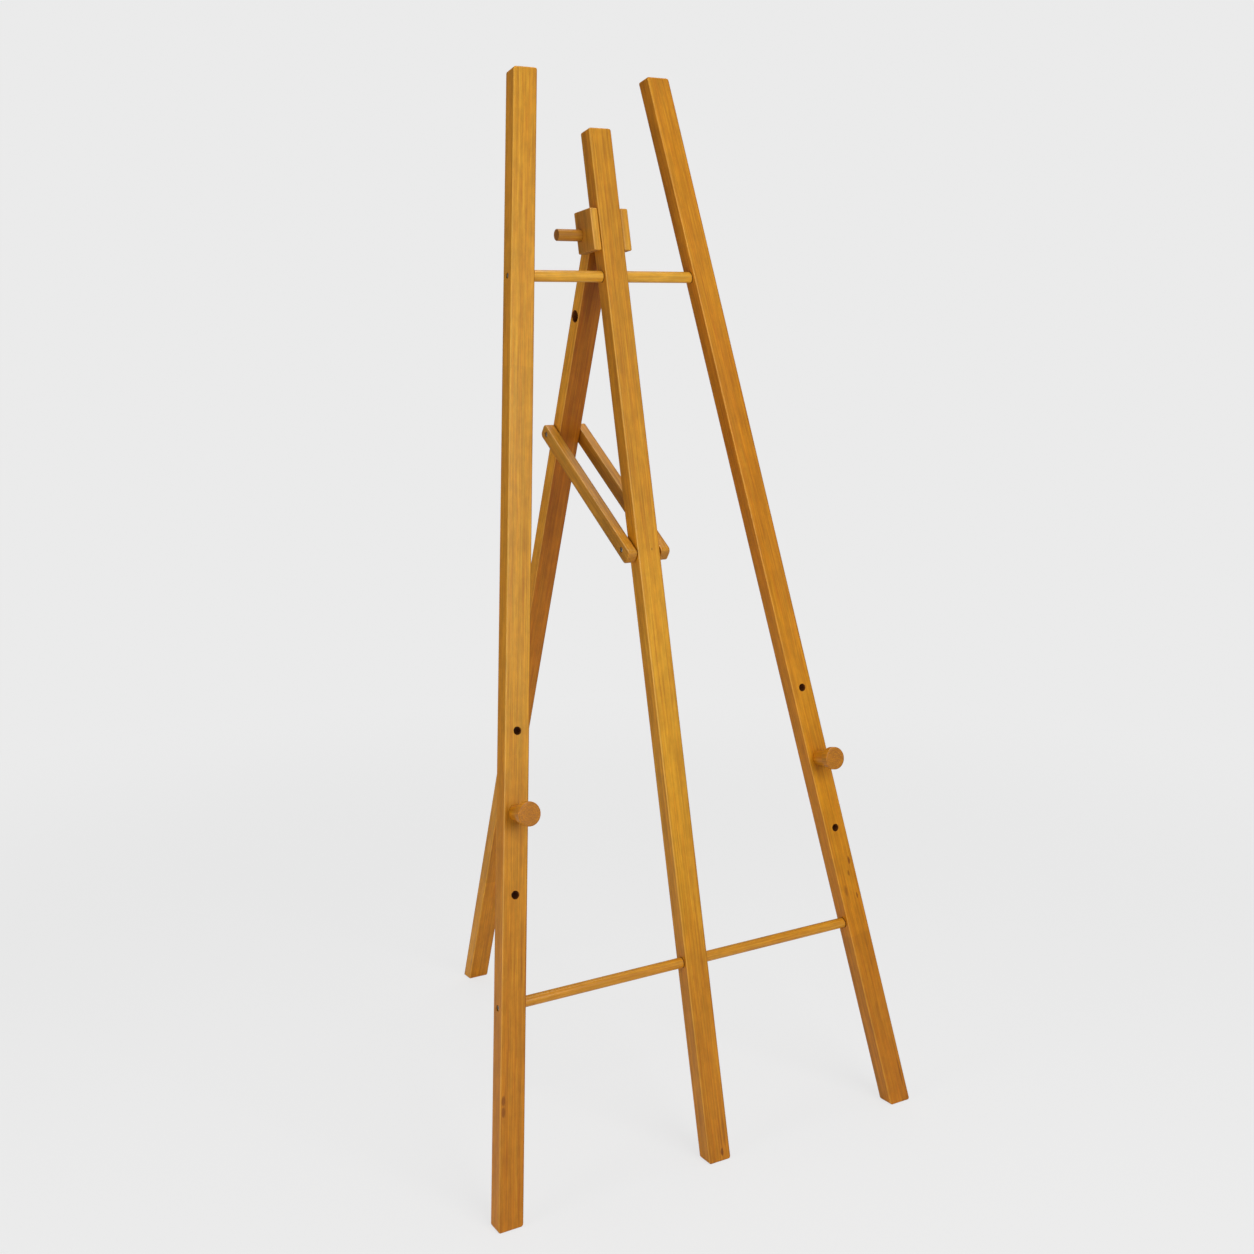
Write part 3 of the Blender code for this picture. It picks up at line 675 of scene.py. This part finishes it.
def side_leg(side, label, material):
    leg = front_leg(label + "_leg_bar", side * SIDE_LEG_FOOT_X, -side * SPLAY, SIDE_LEG_TOP)
    outward = Vector((side, 0, 0))
    cutters = []
    for height, radius in ((TOP_RAIL_HEIGHT, TOP_RAIL_RADIUS),
                           (BOTTOM_RAIL_HEIGHT, BOTTOM_RAIL_RADIUS)):
        centre_x = side_leg_x(height)
        inside = on_frame(side * (centre_x - LONG_CUT / 2), RAIL_DEPTH, height)
        cutters.append(drill(inside, outward, LONG_CUT / 2 + RAIL_END_PAST_CENTRE + GAP,
                             radius + GAP))
        face_x = centre_x + LEG_WIDTH / 2 / math.cos(SPLAY)
        sink = on_frame(side * (face_x - RAIL_SCREW_SINK), RAIL_DEPTH, height)
        cutters.append(drill(sink, outward, LONG_CUT, SCREW_SINK_RADIUS, steps=SMALL_STEPS))
        middle = on_frame(side * centre_x, RAIL_DEPTH, height)
        cutters.append(drill(middle, outward, LONG_CUT / 2, SCREW_SHANK_RADIUS + GAP,
                             steps=SMALL_STEPS))
    for height in PEG_HOLE_HEIGHTS:
        start = on_frame(side * side_leg_x(height), LONG_CUT / 2, height)
        cutters.append(drill(start, FRONT_NORMAL, LONG_CUT, PEG_HOLE_RADIUS,
                             (LONG_CUT / 2, LONG_CUT / 2 - LEG_DEPTH)))
    carve(leg, cutters)
    return finish(leg, "frame", label + "_leg", material)


def stay_pilots(pivot):
    """Cutters for the two blind holes in a leg that take the stay screws' tips."""
    depth = LONG_CUT / 2 - (STAY_OUTER_X - STAY_SCREW_LENGTH) + 2 * GAP
    return [drill(pivot + Vector((side * LONG_CUT / 2, 0, 0)), (-side, 0, 0), depth,
                  SCREW_SHANK_RADIUS + GAP, steps=SMALL_STEPS) for side, _ in SIDES]


def centre_leg(material):
    leg = front_leg("centre_leg_bar", 0, 0, CENTRE_LEG_TOP)
    cutters = stay_pilots(STAY_LOW)
    for height, radius in ((TOP_RAIL_HEIGHT, TOP_RAIL_RADIUS),
                           (BOTTOM_RAIL_HEIGHT, BOTTOM_RAIL_RADIUS)):
        start = on_frame(-LONG_CUT / 2, RAIL_DEPTH, height)
        cutters.append(drill(start, (1, 0, 0), LONG_CUT, radius + GAP))
    carve(leg, cutters)
    return finish(leg, "frame", "centre_leg", material)


def rail_seams(height):
    """Where a rail enters the legs, along its own axis, with the side legs' slope."""
    face = side_leg_x(height) - LEG_WIDTH / 2 / math.cos(SPLAY)
    middle = LEG_WIDTH / 2
    return ((face, LEG_SLOPE), (-face, -LEG_SLOPE), (middle, 0.0), (-middle, 0.0))


def rail(name, height, radius, material):
    """A round rail whose ends sit in the side legs."""
    half = side_leg_x(height) + RAIL_END_PAST_CENTRE
    straight = half - RAIL_CHAMFER
    profile = [(0, half), (radius - RAIL_CHAMFER, half)]
    profile += [(radius, straight - 2 * straight * run / RAIL_RUNS)
                for run in range(RAIL_RUNS + 1)]
    profile += [(radius - RAIL_CHAMFER, -half), (0, -half)]
    place = Matrix.Translation(on_frame(0, RAIL_DEPTH, height)) @ Matrix.Rotation(
        math.pi / 2, 4, "Y")
    dowel = new_piece(name + "_dowel", turned_form(profile, FINE_STEPS), place)
    carve(dowel, [drill(on_frame(side * (half + LONG_CUT / 2), RAIL_DEPTH, height),
                        (-side, 0, 0), LONG_CUT / 2 + RAIL_PILOT_DEPTH,
                        SCREW_SHANK_RADIUS + GAP, steps=SMALL_STEPS)
                  for side, _ in SIDES])
    return finish(dowel, "frame", name, material)


def cheek(side, label, material):
    """A block glued to the centre leg's side that carries the pivot pin; local Z is up it."""
    half = (CHEEK_THICKNESS / 2, (CHEEK_BACK - CHEEK_FRONT) / 2, CHEEK_HEIGHT / 2)
    inner = LEG_WIDTH / 2 + GAP
    form = box_form([-size for size in half], half)
    round_edges(form, CHEEK_ROUND, form.edges[:])
    rise = math.tan(CHEEK_SLANT)
    for corner in form.verts:
        corner.co.z += rise * corner.co.y
    middle = CHEEK_FRONT + half[1]
    place = FRAME_PLANE @ Matrix.Translation((side * (inner + half[0]), middle,
                                              PIVOT_HEIGHT + rise * middle))
    block = new_piece(label + "_cheek_block", form, place)
    if side < 0:
        hole = drill(PIVOT, (side, 0, 0), LONG_CUT, PIN_HOLE_RADIUS,
                     (inner + CHEEK_THICKNESS, inner))
    else:
        hole = drill(PIVOT, (side, 0, 0), inner + CHEEK_THICKNESS * BLIND_HOLE_SHARE,
                     PIN_HOLE_RADIUS)
    carve(block, [hole])
    return finish(block, "frame", label + "_cheek", material)


# ---- rear leg, stays, pin and pegs ---------------------------------------------------------
def rear_leg(material):
    """The rear leg; local origin at the upper stay pivot, local Z up the leg."""
    half = REAR_LEG_DEPTH / 2
    form = box_form((-REAR_LEG_WIDTH / 2, -half, 0), (REAR_LEG_WIDTH / 2, half, 1))
    for corner in form.verts:
        if corner.co.z < 0.5:
            drop = STAY_HIGH.z + corner.co.y * math.sin(REAR_LEAN)
            corner.co.z = -drop / math.cos(REAR_LEAN)
        else:
            corner.co.z = PIVOT_TO_STAY + half
    top_edges = [edge for edge in form.edges
                 if all(end.co.z > PIVOT_TO_STAY for end in edge.verts)
                 and abs(edge.verts[0].co.x - edge.verts[1].co.x) > EDGE_ROUND]
    round_edges(form, half - GAP / 3, top_edges, ROUND_TOP_SEGMENTS)
    round_edges(form, EDGE_ROUND)
    place = Matrix.Translation(STAY_HIGH) @ Matrix.Rotation(REAR_LEAN, 4, "X")
    leg = new_piece("rear_leg_bar", form, place)
    up_leg = Vector((0, -math.sin(REAR_LEAN), math.cos(REAR_LEAN)))
    cutters = stay_pilots(STAY_HIGH)
    for centre in (PIVOT, PIVOT - FOLD_HOLE_BELOW_PIVOT * up_leg):
        start = centre - Vector((LONG_CUT / 2, 0, 0))
        faces = (LONG_CUT / 2 + REAR_LEG_WIDTH / 2, LONG_CUT / 2 - REAR_LEG_WIDTH / 2)
        cutters.append(drill(start, (1, 0, 0), LONG_CUT, PIN_HOLE_RADIUS, faces))
    carve(leg, cutters)
    return finish(leg, "rear_leg", "rear_leg", material)


def stay(side, label, material):
    """A stay bar; local Z runs from the lower screw to the upper one."""
    half = STAY_THICKNESS / 2
    form = box_form((-half, -STAY_DEPTH / 2, -STAY_LOW_MARGIN),
                    (half, STAY_DEPTH / 2, STAY_SPAN + STAY_HIGH_MARGIN))
    along_x = [edge for edge in form.edges
               if abs(edge.verts[0].co.x - edge.verts[1].co.x) > half]
    round_edges(form, STAY_CORNER_ROUND, along_x, STAY_END_SEGMENTS)
    round_edges(form, EDGE_ROUND * 0.7)
    middle_x = side * (STAY_INNER_X + half)
    place = (Matrix.Translation(STAY_LOW + Vector((middle_x, 0, 0)))
             @ Matrix.Rotation(STAY_RISE - math.pi / 2, 4, "X"))
    bar = new_piece(label + "_stay_bar", form, place)
    cutters = []
    for pivot in (STAY_LOW, STAY_HIGH):
        cutters.append(drill(pivot, (side, 0, 0), LONG_CUT, SCREW_SHANK_RADIUS + GAP,
                             steps=SMALL_STEPS))
        sink = pivot + Vector((side * (STAY_OUTER_X - SCREW_SINK), 0, 0))
        cutters.append(drill(sink, (side, 0, 0), LONG_CUT, SCREW_SINK_RADIUS,
                             steps=SMALL_STEPS))
    carve(bar, cutters)
    return finish(bar, "stays", label + "_stay", material)


def pivot_pin(material):
    half = (PIN_RIGHT_END - PIN_LEFT_END) / 2
    round_end = arc((PIN_RADIUS - PIN_CHAMFER, half - PIN_CHAMFER), PIN_CHAMFER, 90, 0, 4)
    profile = [(0, half), *round_end, *[(r, -z) for r, z in reversed(round_end)], (0, -half)]
    middle = Vector(((PIN_RIGHT_END + PIN_LEFT_END) / 2, PIVOT.y, PIVOT.z))
    place = Matrix.Translation(middle) @ Matrix.Rotation(math.pi / 2, 4, "Y")
    pin = new_piece("pivot_pin_dowel", turned_form(profile, FINE_STEPS), place)
    return finish(pin, "pivot_pin", "pivot_pin", material)


def peg(side, label, material):
    """A turned peg: a thin tenon in the hole, a thick shank and a round head."""
    face = PEG_SHANK_LENGTH + PEG_HEAD_LENGTH
    edge = PEG_HEAD_RADIUS - PEG_HEAD_ROUND
    neck = PEG_NECK_ROUND
    profile = [(0, face), (edge * 0.6, face - PEG_FACE_HOLLOW)]
    profile += arc((edge, face - PEG_HEAD_ROUND), PEG_HEAD_ROUND, 90, 0, 5)
    profile += arc((edge, PEG_SHANK_LENGTH + PEG_HEAD_ROUND), PEG_HEAD_ROUND, 0, -90, 5)
    profile += arc((PEG_SHANK_RADIUS + neck, PEG_SHANK_LENGTH - neck), neck, 90, 180, 4)
    profile += [(PEG_SHANK_RADIUS, GAP + PEG_SHANK_CHAMFER),
                (PEG_SHANK_RADIUS - PEG_SHANK_CHAMFER, GAP), (PEG_TENON_RADIUS, GAP),
                (PEG_TENON_RADIUS, PEG_TENON_CHAMFER - PEG_TENON_LENGTH),
                (PEG_TENON_RADIUS - PEG_TENON_CHAMFER, -PEG_TENON_LENGTH),
                (0, -PEG_TENON_LENGTH)]
    height = PEG_HOLE_HEIGHTS[PEG_IN_HOLE]
    place = aim(on_frame(side * side_leg_x(height), 0, height), FRONT_NORMAL)
    item = new_piece(label + "_peg_turning", turned_form(profile, FINE_STEPS), place)
    return finish(item, label + "_peg", label + "_peg", material)


# ---- fasteners -----------------------------------------------------------------------------
def screw(node, place, side, length, body, material):
    """A pan-head screw along X with its head outwards and a cross recess."""
    head, shank, tall = SCREW_HEAD_RADIUS, SCREW_SHANK_RADIUS, SCREW_HEAD_HEIGHT
    profile = [(0, 0), (head * 0.45, -tall * 0.04), (head * 0.72, -tall * 0.16),
               (head * 0.90, -tall * 0.36), (head * 0.99, -tall * 0.66), (head, -tall),
               (shank, -tall), (shank, SCREW_POINT_LENGTH - length), (shank * 0.2, -length),
               (0, -length)]
    item = new_piece(node + "_steel", turned_form(profile, SMALL_STEPS),
                     aim(place, (side, 0, 0)))
    corner_of_arm = Vector((RECESS_ARM, RECESS_HALF_WIDTH, RECESS_DEPTH))
    recess = []
    for turn in (math.pi / 4, 3 * math.pi / 4):
        form = box_form(-corner_of_arm, corner_of_arm)
        for corner in form.verts:
            if corner.co.z < 0:
                corner.co.x *= 0.45
                corner.co.y *= 0.7
        recess.append((form, item.matrix_world @ Matrix.Rotation(turn, 4, "Z")))
    carve(item, recess)
    return finish(item, body, node, material)


def washer(node, place, body, material):
    """A flat ring round a stay screw."""
    inner, half, edge = SCREW_SHANK_RADIUS + 2 * GAP, WASHER_THICKNESS / 2, 0.0003
    outer = WASHER_RADIUS
    profile = [(inner, half), (outer - edge, half), (outer, half - edge), (outer, edge - half),
               (outer - edge, -half), (inner, -half), (inner, half)]
    item = new_piece(node + "_ring", turned_form(profile, SMALL_STEPS), aim(place, (1, 0, 0)))
    return finish(item, body, node, material)


def rail_screws(material):
    for rail_name, height in (("top_rail", TOP_RAIL_HEIGHT), ("bottom_rail", BOTTOM_RAIL_HEIGHT)):
        face_x = side_leg_x(height) + LEG_WIDTH / 2 / math.cos(SPLAY)
        head_x = face_x - RAIL_SCREW_SINK + SCREW_HEAD_HEIGHT + GAP
        for side, label in SIDES:
            screw(rail_name + "_" + label + "_screw", on_frame(side * head_x, RAIL_DEPTH, height),
                  side, RAIL_SCREW_LENGTH, "frame", material)


def stay_fasteners(screw_material, washer_material):
    head_x = STAY_OUTER_X - SCREW_SINK + SCREW_HEAD_HEIGHT + GAP
    washer_x = STAY_INNER_X - GAP - WASHER_THICKNESS / 2
    for level, place, body in (("low", STAY_LOW, "frame"), ("high", STAY_HIGH, "rear_leg")):
        for side, label in SIDES:
            stem = label + "_stay_" + level
            screw(stem + "_screw", place + Vector((side * head_x, 0, 0)), side,
                  STAY_SCREW_LENGTH, body, screw_material)
            washer(stem + "_washer", place + Vector((side * washer_x, 0, 0)), body,
                   washer_material)


# ---- stage, light and camera ---------------------------------------------------------------
BACKDROP = 0.83                   # radiance of the plain background
FLOOR_SHADOW = 0.14               # share of the near floor's look that takes light and shadow
FLOOR_GAIN = 1.40                 # brings the near floor's lit share level with the backdrop
SHADOW_NEAR = 0.7                 # radius within which the floor takes the full share
SHADOW_FAR = 2.6                  # radius beyond which it is plain backdrop
FLOOR_BOUNCE = 0.75               # how pale the floor is to the light that it throws back
SKY_LIGHT = 0.15                  # how bright the surround is to everything but the camera
FLOOR_HALF_SIZE = 60
FLOOR_DROP = 0.0002               # the floor lies this far below the feet

# name, place, height of the point on the middle axis that it faces, size and power in watts
SOFTBOXES = (("key", (0.2, -3.0, 1.9), 0.8, 1.8, 51),
             ("top", (0.3, 0.2, 3.2), 0.8, 1.8, 31),
             ("left", (-2.5, -0.6, 0.9), 0.7, 1.0, 17))


def seen_by_camera(tree):
    return tree.nodes.new("ShaderNodeLightPath").outputs["Is Camera Ray"]


def build_floor():
    """A wide pale floor that takes soft shadows near the easel and fades into the backdrop."""
    form = bmesh.new()
    bmesh.ops.create_grid(form, x_segments=1, y_segments=1, size=FLOOR_HALF_SIZE)
    floor = new_piece("floor", form, Matrix.Translation((0, 0, -FLOOR_DROP)))
    shader = Shader("pale_floor")
    coords = shader.node("ShaderNodeTexCoord", {}).outputs["Object"]
    radius = shader.node("ShaderNodeVectorMath", {0: coords}, operation="LENGTH").outputs[1]
    share = shader.spread(radius, SHADOW_NEAR, SHADOW_FAR, FLOOR_SHADOW, 0.0)
    seen = seen_by_camera(shader.tree)
    lit = shader.maths("MULTIPLY", share, BACKDROP * FLOOR_GAIN)
    shown = shader.node("ShaderNodeCombineColor", {0: lit, 1: lit, 2: lit}).outputs[0]
    dull = (FLOOR_BOUNCE, FLOOR_BOUNCE, FLOOR_BOUNCE, 1)
    surface = shader.surface
    shader.feed(surface.inputs["Base Color"], shader.mix(seen, dull, shown))
    surface.inputs["Roughness"].default_value = 0.9
    surface.inputs["Specular IOR Level"].default_value = 0.0
    surface.inputs["Emission Color"].default_value = (1, 1, 1, 1)
    plain = shader.maths("MULTIPLY", shader.maths("SUBTRACT", 1.0, share), BACKDROP)
    shader.feed(surface.inputs["Emission Strength"], shader.maths("MULTIPLY", seen, plain))
    floor.data.materials.append(shader.material)


def build_world():
    world = bpy.data.worlds.new("studio")
    bpy.context.scene.world = world
    world.use_nodes = True
    tree = world.node_tree
    background = tree.nodes["Background"]
    seen = seen_by_camera(tree)
    level = tree.nodes.new("ShaderNodeMapRange")
    level.inputs[3].default_value = SKY_LIGHT
    level.inputs[4].default_value = BACKDROP
    tree.links.new(seen, level.inputs[0])
    background.inputs["Color"].default_value = (1, 1, 1, 1)
    tree.links.new(level.outputs[0], background.inputs["Strength"])


def add_softbox(name, place, target, size, power):
    """A square studio softbox, out of the camera's sight, that faces a target point."""
    data = bpy.data.lights.new(name, "AREA")
    data.size = size
    data.energy = power
    lamp = bpy.data.objects.new(name, data)
    bpy.context.scene.collection.objects.link(lamp)
    lamp.location = place
    towards = Vector(place) - Vector(target)
    lamp.rotation_euler = towards.to_track_quat("Z", "Y").to_euler()
    lamp.visible_camera = False


def build_lights():
    for name, place, faces_height, size, power in SOFTBOXES:
        add_softbox(name, place, (0, 0, faces_height), size, power)


CAMERA_PLACE = (-1.16765, FRONT_Y - 1.71114, 1.14766)
CAMERA_YAW = 0.53941              # turn to the right of +Y, radians
CAMERA_PITCH = -0.18096
CAMERA_ROLL = -0.01184
CAMERA_LENS = 45.56


def build_camera():
    data = bpy.data.cameras.new("camera")
    data.lens = CAMERA_LENS
    data.sensor_width = 36
    data.clip_start = 0.05
    data.clip_end = 200
    camera = bpy.data.objects.new("camera", data)
    bpy.context.scene.collection.objects.link(camera)
    camera.matrix_world = (Matrix.Translation(CAMERA_PLACE)
                           @ Matrix.Rotation(-CAMERA_YAW, 4, "Z")
                           @ Matrix.Rotation(math.pi / 2 + CAMERA_PITCH, 4, "X")
                           @ Matrix.Rotation(CAMERA_ROLL, 4, "Z"))
    bpy.context.scene.camera = camera


# ---- assembly ------------------------------------------------------------------------------
# dark stains on the legs' fronts, as (x, z, width, length, strength)
LEFT_MARKS = ((-0.0138, 0.1680, 0.0056, 0.0160, 0.65), (-0.0136, 0.1535, 0.0056, 0.0160, 0.60))
CENTRE_MARKS = ((0.0045, 0.0130, 0.0056, 0.0130, 0.80), (0.0105, 0.0420, 0.0045, 0.0500, 0.30),
                (0.0048, 0.8706, 0.0028, 0.0050, 0.55))
RIGHT_MARKS = ((0.0118, 0.0450, 0.0032, 0.0480, 0.50), (0.0060, 0.2550, 0.0030, 0.0300, 0.25),
               (0.0104, 0.3809, 0.0050, 0.0140, 0.75), (0.0040, 0.3629, 0.0042, 0.0100, 0.60),
               (-0.0081, 0.3385, 0.0055, 0.0200, 0.45), (0.0099, 0.3261, 0.0036, 0.0100, 0.65))

# heights where the tone changes, and slow shades, both as bamboo takes them; on the rear leg both
# are painted shadow, darker towards its top under the front frame
LEFT_STEPS = ((1.1455, 1.06),)
RIGHT_STEPS = ((0.2689, 1.08),)
# painted shadow edge across the rear leg, darker above it
REAR_PAINTED_SHADOW_STEP = ((-0.8506, 0.88),)
LEFT_SHADES = (FOOT_SHADE, (0.70, 0.50, (0.93, 0.85, 0.84), 1.0))
RIGHT_SHADES = (FOOT_SHADE, (1.30, 1.15, (0.96, 0.90, 0.66), 1.0),
                (0.90, 0.60, (1.05, 1.12, 1.50), 1.0))
CENTRE_SHADES = (FOOT_SHADE, (0.98, 0.80, (1.12, 1.23, 1.60), 1.0),
                 (0.50, 0.22, (0.90, 0.82, 0.64), 1.0))
# painted shadow on the rear leg's upper front, under the cheeks and centre leg
REAR_PAINTED_SHADOW = ((-0.70, -0.10, (0.88, 0.76, 0.46), 0.0),)


def build_front_legs():
    half_size = (LEG_WIDTH / 2, LEG_DEPTH / 2)
    bores = [(0, height / math.cos(SPLAY), PEG_HOLE_RADIUS) for height in PEG_HOLE_HEIGHTS]
    side_leg(-1, "left", bamboo("bamboo_left_leg", half_size, 1.0, (1.05, 1.03, 0.78),
                                LEFT_STEPS, LEFT_MARKS, bores, LEFT_SHADES))
    side_leg(1, "right", bamboo("bamboo_right_leg", half_size, 2.0, (0.96, 0.83, 0.38),
                                RIGHT_STEPS, RIGHT_MARKS, bores, RIGHT_SHADES))
    centre_leg(bamboo("bamboo_centre_leg", half_size, 3.0, (1.03, 0.95, 0.55),
                      marks=CENTRE_MARKS, shades=CENTRE_SHADES))


def build_rails():
    # the top rail's pale, whitish tint is partly its own tone, partly a painted highlight along
    # the whole rail
    rail("top_rail", TOP_RAIL_HEIGHT, TOP_RAIL_RADIUS,
         bamboo("bamboo_top_rail", None, 4.0, (1.22, 1.30, 1.8),
                seams=rail_seams(TOP_RAIL_HEIGHT)))
    rail("bottom_rail", BOTTOM_RAIL_HEIGHT, BOTTOM_RAIL_RADIUS,
         bamboo("bamboo_bottom_rail", None, 5.0, (1.08, 1.0, 0.85),
                seams=rail_seams(BOTTOM_RAIL_HEIGHT)))


def build_paired_pieces():
    """The cheeks, stays and pegs, one of each on both sides."""
    cheek_half = (CHEEK_THICKNESS / 2, (CHEEK_BACK - CHEEK_FRONT) / 2)
    stay_half = (STAY_THICKNESS / 2, STAY_DEPTH / 2)
    for number, (side, label) in enumerate(SIDES):
        # the cheeks' and stays' side tints paint light and shade on their side faces
        cheek(side, label, bamboo("bamboo_%s_cheek" % label, cheek_half, 6.0 + number,
                                  (1.14, 1.15, 1.5), side_tint_and_light=(0.92, 0.84, 0.92)))
        stay(side, label, bamboo("bamboo_%s_stay" % label, stay_half, 8.0 + number,
                                 (1.0, 0.95, 1.15), side_tint_and_light=(0.98, 0.97, 1.1)))
        peg(side, label, bamboo("bamboo_%s_peg" % label, None, 10.0 + number,
                                (0.97, 0.79, 0.30)))


def build_rear_leg_and_pin():
    half_size = (REAR_LEG_WIDTH / 2, REAR_LEG_DEPTH / 2)
    fold_bore = (1, PIVOT_TO_STAY - FOLD_HOLE_BELOW_PIVOT, PIN_HOLE_RADIUS)
    # the rear leg's strong side tint paints light on its side faces
    rear_leg(bamboo("bamboo_rear_leg", half_size, 12.0, (1.03, 0.82, 0.42), REAR_PAINTED_SHADOW_STEP,
                    bores=(fold_bore,), shades=REAR_PAINTED_SHADOW, side_tint_and_light=(1.38, 1.60, 3.2)))
    pivot_pin(bamboo("bamboo_pivot_pin", None, 13.0, (0.78, 0.70, 0.72)))


def build_fasteners():
    rail_screws(zinc("zinc_rail_screws", 1.0, ZINC_DARK, ZINC_BRIGHT))
    stay_fasteners(zinc("zinc_stay_screws", 2.0, ZINC_DARK, ZINC_BRIGHT),
                   zinc("zinc_washers", 3.0, WASHER_DARK, WASHER_BRIGHT))


build_front_legs()
build_rails()
build_paired_pieces()
build_rear_leg_and_pin()
build_fasteners()
build_floor()
build_world()
build_lights()
build_camera()
bpy.context.scene.view_settings.view_transform = "Standard"
